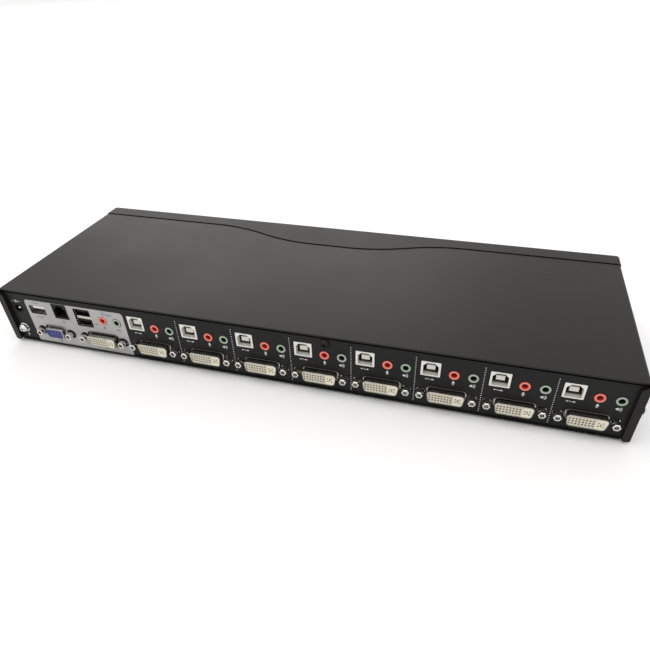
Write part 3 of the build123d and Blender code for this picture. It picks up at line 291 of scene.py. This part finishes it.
def ribbon(name):
    """Grey ribbon cable: a ridge for each wire, 1.27 mm apart, with painted shade in the grooves between
    them.
    """
    material, tree, shader, place = new_material(name)
    ridges = add_node(
        tree,
        "ShaderNodeTexWave",
        {"wave_type": "BANDS", "bands_direction": "X", "wave_profile": "SIN"},
        Vector=place,
        Scale=0.314 / (1.27 * MM),
    )
    # Painted shade: darker in the grooves, lighter on the ridges.
    colour = mix_colours(tree, ridges.outputs["Fac"], (0.16, 0.16, 0.17), (0.42, 0.42, 0.43))
    tree.links.new(colour, shader.inputs["Base Color"])
    tree.links.new(spread(tree, noise(tree, place, 4.0), 0.40, 0.55), shader.inputs["Roughness"])
    bump = add_node(tree, "ShaderNodeBump", Strength=1.0, Distance=0.3 * MM, Height=ridges.outputs["Fac"])
    tree.links.new(bump.outputs["Normal"], shader.inputs["Normal"])
    return material


powder_coat = finish(
    "powder_coat", (0.008, 0.0065, 0.0055), (0.014, 0.0115, 0.0095), (0.38, 0.45), specular=0.24,
    grain=0.55, depth=0.016, clouds=60.0, edge=0.35,
)
# Painted shade on the cover's rear edge.
dimmed(powder_coat, rear_edge_shade)
panel_coat = finish(
    "panel_coat", (0.006, 0.006, 0.006), (0.011, 0.0105, 0.010), (0.42, 0.50), specular=0.18,
    grain=0.55, depth=0.016, clouds=40.0, edge=0.25,
)
bezel_plastic = finish(
    "bezel_plastic", (0.012, 0.0105, 0.0095), (0.022, 0.0185, 0.0160), (0.42, 0.50), specular=0.22,
    grain=0.40, depth=0.020, clouds=50.0, edge=0.3,
)
label_film = finish(
    "label_film", (0.32, 0.315, 0.31), (0.42, 0.415, 0.41), (0.40, 0.50), metallic=0.15, grain=0.25,
    depth=0.006, clouds=30.0,
)
overlay_film = finish(
    "overlay_film", (0.010, 0.010, 0.012), (0.016, 0.016, 0.019), (0.22, 0.28), grain=0.35, depth=0.004,
    clouds=40.0,
)
black_plastic = finish(
    "black_plastic", (0.008, 0.008, 0.009), (0.016, 0.016, 0.017), (0.38, 0.50), grain=0.3, depth=0.010,
    clouds=6.0,
)
socket_black = finish(
    "socket_black", (0.004, 0.004, 0.004), (0.009, 0.009, 0.009), (0.42, 0.55), specular=0.15,
    grain=0.3, depth=0.008, clouds=6.0,
)
chip_plastic = finish(
    "chip_plastic", (0.012, 0.012, 0.013), (0.024, 0.024, 0.026), (0.50, 0.62), grain=0.15, depth=0.012,
    clouds=5.0,
)
shell_nickel = finish(
    "shell_nickel", (0.42, 0.40, 0.37), (0.60, 0.58, 0.54), (0.24, 0.34), metallic=1.0, grain=0.5,
    depth=0.002, clouds=4.0, stretch=(0.25, 1, 1), edge=0.15,
)
# The DVI shells' nickel, a lighter copy of shell_nickel, dimmed below with painted shade towards the panel
# and painted highlights at the shells' ends.
dvi_plate_shaded = finish(
    "dvi_plate_shaded", (0.46, 0.44, 0.40), (0.64, 0.62, 0.57), (0.24, 0.34), metallic=1.0, grain=0.5,
    depth=0.002, clouds=4.0, stretch=(0.25, 1, 1), edge=0.15,
)
dimmed(dvi_plate_shaded, root_shade)
# Painted shade: the USB-B shell darkens from its mouth inwards.
usb_b_plate = bored(
    "usb_b_plate", (0.78, 0.76, 0.71), (0.10, 0.085, 0.065), (0.28, 0.40), near=0.1, far=-1.2,
    metallic=0.85,
)
tin_plate = finish(
    "tin_plate", (0.62, 0.60, 0.56), (0.80, 0.78, 0.74), (0.28, 0.42), metallic=0.9, grain=0.4,
    depth=0.003, clouds=3.0, stretch=(0.3, 1, 1), edge=0.15,
)
screw_nickel = finish(
    "screw_nickel", (0.64, 0.62, 0.58), (0.86, 0.84, 0.80), (0.18, 0.30), metallic=1.0, grain=0.3,
    depth=0.002, clouds=2.0, edge=0.12,
)
ivory_plastic = finish(
    "ivory_plastic", (0.64, 0.59, 0.46), (0.74, 0.70, 0.58), (0.34, 0.46), grain=0.25, depth=0.008,
    clouds=5.0, settings={"Subsurface Weight": 0.04, "Subsurface Scale": 0.0005},
)
# Painted shade among the DVI faces' close rows of holes.
dimmed(ivory_plastic, face_tone)
white_plastic = finish(
    "white_plastic", (0.66, 0.65, 0.62), (0.80, 0.79, 0.76), (0.32, 0.44), grain=0.25, depth=0.008,
    clouds=5.0, settings={"Subsurface Weight": 0.08, "Subsurface Scale": 0.001},
)
# Painted shade: the USB-B insulator darkens deeper inside the socket, behind its post's front face.
usb_b_plastic = bored(
    "usb_b_plastic", (0.66, 0.64, 0.60), (0.09, 0.075, 0.06), (0.32, 0.44), near=-2.2, far=-3.4,
)
grey_plastic = finish(
    "grey_plastic", (0.30, 0.30, 0.29), (0.42, 0.42, 0.40), (0.36, 0.48), grain=0.25, depth=0.008,
    clouds=5.0,
)
blue_plastic = finish(
    "blue_plastic", (0.026, 0.030, 0.17), (0.040, 0.048, 0.27), (0.34, 0.46), grain=0.25, depth=0.008,
    clouds=5.0,
)
# Painted shade: each jack ring's colour darkens into its bore.
coral_ring = bored("coral_ring", (0.84, 0.22, 0.16), (0.50, 0.05, 0.035), (0.30, 0.42))
green_ring = bored("green_ring", (0.38, 0.45, 0.35), (0.012, 0.030, 0.016), (0.30, 0.42))
# Dark brown contact metal: partly the contacts' bronze, partly painted shade of the holes they fill.
contact_bronze_shaded = finish(
    "contact_bronze_shaded", (0.045, 0.030, 0.010), (0.085, 0.058, 0.022), (0.40, 0.52), metallic=0.6,
    grain=0.1, depth=0.002, clouds=1.0,
)
gold_contact = finish(
    "gold_contact", (0.52, 0.36, 0.12), (0.80, 0.60, 0.26), (0.22, 0.34), metallic=1.0, grain=0.1,
    depth=0.003, clouds=1.0,
)
turned_brass = finish(
    "turned_brass", (0.50, 0.36, 0.14), (0.74, 0.56, 0.26), (0.22, 0.36), metallic=1.0, grain=0.3,
    depth=0.006, clouds=3.0, stretch=(1, 1, 4),
)
can_aluminium = finish(
    "can_aluminium", (0.60, 0.60, 0.61), (0.80, 0.80, 0.82), (0.26, 0.38), metallic=1.0, grain=0.3,
    depth=0.006, clouds=4.0, stretch=(4, 4, 0.4),
)
foot_rubber = finish(
    "foot_rubber", (0.010, 0.010, 0.010), (0.022, 0.022, 0.021), (0.70, 0.85), specular=0.3, grain=0.25,
    depth=0.03, clouds=4.0,
)
button_plastic = finish(
    "button_plastic", (0.070, 0.071, 0.074), (0.105, 0.106, 0.110), (0.36, 0.46), grain=0.35,
    depth=0.014, clouds=8.0,
)
lens_plastic = finish(
    "lens_plastic", (0.30, 0.52, 0.30), (0.42, 0.68, 0.42), (0.08, 0.16), grain=0.2, depth=0.002,
    clouds=1.0, settings={"Transmission Weight": 0.6, "IOR": 1.5},
)
white_ink = finish(
    "white_ink", (0.60, 0.60, 0.60), (0.78, 0.78, 0.78), (0.45, 0.60), grain=0.08, depth=0.003,
    clouds=1.5,
)
grey_ink = finish(
    "grey_ink", (0.070, 0.070, 0.075), (0.130, 0.130, 0.135), (0.45, 0.60), grain=0.08, depth=0.003,
    clouds=1.5,
)
board_green = circuit_board("board_green")
ribbon_grey = ribbon("ribbon_grey")

node_materials = {
    "top_cover": powder_coat,
    "base_tray": panel_coat,
    "rear_panel": panel_coat,
    "console_label": label_film,
    "front_bezel": bezel_plastic,
    "front_overlay": overlay_film,
    "tact_switches": black_plastic,
    "leds": lens_plastic,
    "dvi_shells": dvi_plate_shaded,
    "dvi_insulators": ivory_plastic,
    "vga_shell": shell_nickel,
    "vga_insulator": blue_plastic,
    "jackscrews": screw_nickel,
    "usb_b_shells": usb_b_plate,
    "usb_b_insulators": usb_b_plastic,
    "usb_a_shell": shell_nickel,
    "usb_a_tongue": white_plastic,
    "usb_stack_shell": shell_nickel,
    "usb_stack_tongues": socket_black,
    "upgrade_jack": socket_black,
    "upgrade_jack_contacts": gold_contact,
    "mic_jack_sleeves": coral_ring,
    "speaker_jack_sleeves": green_ring,
    "audio_jack_housings": black_plastic,
    "power_jack": socket_black,
    "power_jack_pin": screw_nickel,
    "cover_screws": powder_coat,
    "ground_screw": screw_nickel,
    "ground_washers": screw_nickel,
    "ear_nuts": screw_nickel,
    "rubber_feet": foot_rubber,
    "main_board": board_green,
    "io_board": board_green,
    "button_board": board_green,
    "tray_standoffs": tin_plate,
    "board_pillars": turned_brass,
    "board_headers": black_plastic,
    "internal_screws": screw_nickel,
    "logic_chips": chip_plastic,
    "capacitors": can_aluminium,
    "crystals": tin_plate,
    "voltage_regulators": chip_plastic,
    "buzzer": black_plastic,
    "ribbon_cable": ribbon_grey,
}
for number in range(1, port_count + 1):
    node_materials[f"port_button_{number}"] = button_plastic
    node_materials[f"switch_plunger_{number}"] = grey_plastic

for name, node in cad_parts.items():
    for slot in node.material_slots:
        slot.material = node_materials[name]


# ------------------------------------------------------------- printed marks

INK = 0.04                      # thickness of the ink, in millimetres


def bar(u_low, v_low, u_high, v_high):
    return [(u_low, v_low), (u_high, v_low), (u_high, v_high), (u_low, v_high)]


def disc(u, v, radius, sides=16):
    turn = 2 * math.pi / sides
    return [
        (u + radius * math.cos(turn * step), v + radius * math.sin(turn * step)) for step in range(sides)
    ]


def arc(u, v, inner, outer, start, end, steps=12):
    """Part of a ring between two angles in degrees."""
    angles = [math.radians(start + (end - start) * step / steps) for step in range(steps + 1)]
    outside = [(u + outer * math.cos(angle), v + outer * math.sin(angle)) for angle in angles]
    inside = [(u + inner * math.cos(angle), v + inner * math.sin(angle)) for angle in reversed(angles)]
    return outside + inside


def capsule(u, v_low, v_high, radius, steps=8):
    """Upright bar with round ends."""
    half_turn = [math.pi * step / steps for step in range(steps + 1)]
    top = [(u + radius * math.cos(angle), v_high + radius * math.sin(angle)) for angle in half_turn]
    bottom = [(u - radius * math.cos(angle), v_low - radius * math.sin(angle)) for angle in half_turn]
    return top + bottom


def hollow(u_low, v_low, u_high, v_high, line):
    """Four bars round a rectangle."""
    return [
        bar(u_low, v_low, u_high, v_low + line),
        bar(u_low, v_high - line, u_high, v_high),
        bar(u_low, v_low + line, u_low + line, v_high - line),
        bar(u_high - line, v_low + line, u_high, v_high - line),
    ]


cable_mark = [
    disc(-2.3, 0, 0.42),
    bar(-2.0, -0.1, -1.3, 0.1),
    arc(-0.85, 0, 0.3, 0.5, 0, 180),
    arc(-0.05, 0, 0.3, 0.5, 180, 360),
    bar(0.3, -0.1, 1.1, 0.1),
    bar(1.1, -0.45, 1.8, 0.45),
    bar(1.8, 0.12, 2.5, 0.3),
    bar(1.8, -0.3, 2.5, -0.12),
]
microphone_mark = [
    capsule(0, 0.35, 1.0, 0.5),
    arc(0, 0.3, 0.75, 1.0, 180, 360),
    bar(-0.13, -1.2, 0.13, -0.72),
    bar(-0.6, -1.45, 0.6, -1.2),
]
speaker_mark = [
    [(-1.7, -0.45), (-1.1, -0.45), (-0.3, -1.1), (-0.3, 1.1), (-1.1, 0.45), (-1.7, 0.45)],
    arc(-0.9, 0, 1.05, 1.3, -38, 38),
    arc(-0.9, 0, 1.7, 1.95, -38, 38),
    arc(-0.9, 0, 2.35, 2.6, -38, 38),
]
earth_mark = [
    bar(-0.13, 0.3, 0.13, 1.5),
    bar(-1.2, 0.05, 1.2, 0.3),
    bar(-0.8, -0.45, 0.8, -0.2),
    bar(-0.4, -0.95, 0.4, -0.7),
]
polarity_mark = [
    bar(-3.4, -0.12, -2.3, 0.12),
    disc(0, 0, 0.4),
    arc(0, 0, 0.85, 1.1, 35, 325),
    bar(0.4, -0.12, 2.2, 0.12),
    bar(2.5, -0.12, 3.5, 0.12),
    bar(2.88, -0.5, 3.12, -0.12),
    bar(2.88, 0.12, 3.12, 0.5),
]
screen_mark = hollow(-1.5, -0.6, 1.5, 1.3, 0.25) + [bar(-0.2, -1.0, 0.2, -0.6), bar(-0.9, -1.25, 0.9, -1.0)]
desk_mark = (
    hollow(-3.6, -0.6, -0.6, 1.3, 0.25)
    + [bar(-3.0, -1.25, -1.2, -1.0), bar(-2.3, -1.0, -1.9, -0.6)]
    + hollow(0.2, -1.2, 4.4, 0.3, 0.25)
    + [bar(0.8 + 0.7 * step, -0.6, 1.1 + 0.7 * step, -0.3) for step in range(5)]
)
arrow_mark = [[(-1.0, 0.1), (1.0, 0.1), (0.0, 1.3)], bar(-0.3, -1.2, 0.3, 0.1)]


def housing_piece(name, build, material):
    """Closes a bmesh and makes it a piece that rides on the housing."""
    bmesh.ops.recalc_face_normals(build, faces=build.faces)
    mesh = bpy.data.meshes.new(name)
    build.to_mesh(mesh)
    build.free()
    piece = bpy.data.objects.new(name, mesh)
    bpy.context.collection.objects.link(piece)
    mesh.materials.append(material)
    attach(piece, "housing")


def printed(name, marks, surface_y, material):
    """Ink on an upright surface that faces backwards.

    marks is a list of (distance from the +X side, height, outlines). Outlines are in
    millimetres about that place, first figure to the right as seen from behind.
    """
    build = bmesh.new()
    for distance, height, outlines in marks:
        for outline in outlines:
            corners = [
                build.verts.new((across(distance + u) * MM, surface_y * MM, (foot_height + height + v) * MM))
                for u, v in outline
            ]
            face = build.faces.new(corners)
            raised = bmesh.ops.extrude_face_region(build, geom=[face])["geom"]
            lifted = [part for part in raised if isinstance(part, bmesh.types.BMVert)]
            bmesh.ops.translate(build, verts=lifted, vec=(0, INK * MM, 0))
    housing_piece(name, build, material)


usb_mark_row = 22.4
jack_mark_row = 22.2
port_marks = []
for centre in port_centres:
    port_marks.append((centre + usb_b_shift, usb_mark_row, cable_mark))
    port_marks.append((centre + mic_shift, jack_mark_row, microphone_mark))
    port_marks.append((centre + speaker_shift, jack_mark_row, speaker_mark))
power_marks = [(12.0, 34.6, polarity_mark), (11.0, 4.6, earth_mark)]
printed("port_marks", port_marks + power_marks, panel_y, white_ink)

# A dotted line between each port and the next
separator_shift = 20.9
dot_pitch = 1.8
dot_top = 37.6
dot_radius = 0.30
dots_per_line = 20
separator_dots = [
    (centre + separator_shift, dot_top - dot_pitch * step, [disc(0, 0, dot_radius, 10)])
    for centre in port_centres[:-1]
    for step in range(dots_per_line)
]
printed("separator_dots", separator_dots, panel_y, white_ink)

console_marks = [
    (29.5, 23.2, cable_mark),
    (29.5, 35.2, cable_mark),
    (49.4, 21.9, arrow_mark),
    (76.6, 24.6, cable_mark),
    (84.3, jack_mark_row, microphone_mark),
    (95.8, jack_mark_row, speaker_mark),
    (88.5, 34.6, desk_mark),
    (39.8, 3.9, screen_mark),
    (80.7, 3.9, screen_mark),
]
printed("console_marks", console_marks, label_y, grey_ink)


# ------------------------------------------------------- contacts in the DVI sockets


def blades(name, places, size, front, back, material):
    """Sprung contacts, each a short square blade with a tapered tip, in the holes of a socket."""
    build = bmesh.new()
    tip = 0.4
    for distance, height in places:
        x = across(distance)
        z = foot_height + height
        sections = ((front, 0.48 * size), (front - tip, 0.5 * size), (back, 0.5 * size))
        rings = []
        for y, half in sections:
            corners = ((x - half, z - half), (x + half, z - half), (x + half, z + half), (x - half, z + half))
            rings.append([build.verts.new((cx * MM, y * MM, cz * MM)) for cx, cz in corners])
        build.faces.new(rings[0])
        for ahead, behind in zip(rings, rings[1:]):
            for step in range(4):
                after = (step + 1) % 4
                build.faces.new((ahead[step], ahead[after], behind[after], behind[step]))
        build.faces.new(reversed(rings[-1]))
    housing_piece(name, build, material)


blade_places = [
    (centre - column_middle + contact_pitch * column, low_row + contact_pitch * row)
    for centre in [console_dvi] + port_centres
    for column in (-3.5, -2.5, -1.5, -0.5, 0.5, 1.5, 2.5, 3.5)
    for row in (-1, 0, 1)
]
# The blades fill the holes just behind the face, so their dark colour stands as painted shade in the holes.
blade_size = 1.04
blade_front = panel_y + dvi_face - 0.12
blade_back = panel_y + dvi_face - 3.2
blades("dvi_contacts", blade_places, blade_size, blade_front, blade_back, contact_bronze_shaded)


# ------------------------------------------------------------------ front numerals

numeral_size = 4.2
for number in range(1, port_count + 1):
    low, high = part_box(f"port_button_{number}")
    text = bpy.data.curves.new(f"numeral_{number}", "FONT")
    text.body = str(number)
    text.size = numeral_size * MM
    text.extrude = INK / 2 * MM
    text.align_x = "CENTER"
    text.align_y = "CENTER"
    numeral = bpy.data.objects.new(f"numeral_{number}", text)
    bpy.context.collection.objects.link(numeral)
    numeral.location = ((low.x + high.x) / 2, (overlay_y - INK / 2) * MM, (foot_height + led_row) * MM)
    numeral.rotation_euler = (math.radians(90), 0, 0)
    text.materials.append(white_ink)
    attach(numeral, "housing")


# ---------------------------------------------------------- floor, lights and camera

floor_half = 8.0
floor_mesh = bpy.data.meshes.new("floor")
floor_mesh.from_pydata(
    [
        (-floor_half, -floor_half, 0),
        (floor_half, -floor_half, 0),
        (floor_half, floor_half, 0),
        (-floor_half, floor_half, 0),
    ],
    [],
    [(0, 1, 2, 3)],
)
floor = bpy.data.objects.new("floor", floor_mesh)
bpy.context.collection.objects.link(floor)
floor_material = finish(
    "floor_paper", (0.93, 0.93, 0.93), (0.95, 0.95, 0.95), (0.85, 0.95), grain=2.0, clouds=400.0,
)
floor_mesh.materials.append(floor_material)


def area_light(name, place, target, width, height, power, colour=(1, 1, 1)):
    """Soft box at a place, turned to a target, in metres."""
    lamp = bpy.data.lights.new(name, "AREA")
    lamp.shape = "RECTANGLE"
    lamp.size = width
    lamp.size_y = height
    lamp.energy = power
    lamp.color = colour
    holder = bpy.data.objects.new(name, lamp)
    bpy.context.collection.objects.link(holder)
    holder.location = place
    holder.rotation_euler = (Vector(target) - Vector(place)).to_track_quat("-Z", "Y").to_euler()
    return holder


middle = (0.0, 0.0, 0.03)
warm_white = (1.0, 0.97, 0.94)
area_light("window", (1.0, -2.4, 1.3), middle, 2.2, 1.4, 13, warm_white)
area_light("overhead", (0.3, 0.6, 2.6), middle, 2.4, 2.0, 20, warm_white)
area_light("fill", (-1.4, 2.2, 1.3), middle, 1.6, 1.2, 1.5)

world = bpy.data.worlds.new("studio")
world.use_nodes = True
background = world.node_tree.nodes["Background"]
background.inputs["Color"].default_value = (1.0, 1.0, 1.0, 1.0)
background.inputs["Strength"].default_value = 0.95
bpy.context.scene.world = world
bpy.context.scene.view_settings.view_transform = "Standard"

camera_data = bpy.data.cameras.new("camera")
camera_data.lens = 30.0
camera_data.sensor_width = 36.0
camera_data.shift_x = -0.0105
camera_data.shift_y = 0.0439
camera_data.clip_start = 0.01
camera = bpy.data.objects.new("camera", camera_data)
bpy.context.collection.objects.link(camera)
camera_place = Vector((-0.1166, 0.3345, 0.2438))
aim = Vector((-0.0331, 0.0652, 0.0250))
roll = math.radians(-2.04)
facing = (aim - camera_place).to_track_quat("-Z", "Y").to_matrix().to_4x4()
camera.matrix_world = Matrix.Translation(camera_place) @ facing @ Matrix.Rotation(roll, 4, "Z")
bpy.context.scene.camera = camera
